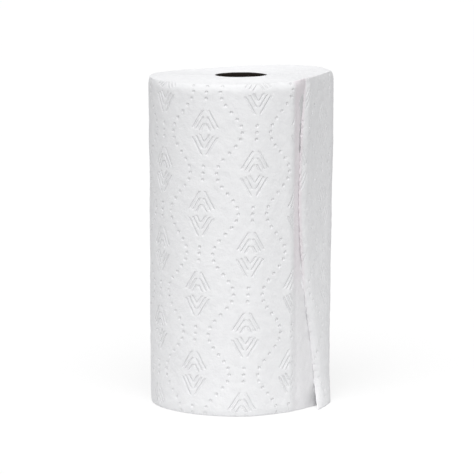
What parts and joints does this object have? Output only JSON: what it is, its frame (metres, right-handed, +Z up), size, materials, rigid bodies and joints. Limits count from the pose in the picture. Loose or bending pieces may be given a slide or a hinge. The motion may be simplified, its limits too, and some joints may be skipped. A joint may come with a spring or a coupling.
{
  "type": "paper towel roll",
  "caption": "White embossed paper towel roll on a cardboard core, standing on its end with the loose end of the web lifting at the bottom corner.",
  "frame": {"origin": "centre of the core's bore, in the bottom face", "axes": "+Z up the bore, -Y towards the front, +X towards the side that the loose end comes round"},
  "size_m": [0.1539, 0.155, 0.2794],
  "materials": {
    "core_board": "dark brown uncoated spiral-wound board, matte",
    "towel_paper": "white two-ply embossed tissue, matte"
  },
  "bodies": {
    "root": {"core_tube": "core_board", "paper_roll": "towel_paper"}
  },
  "joints": []
}
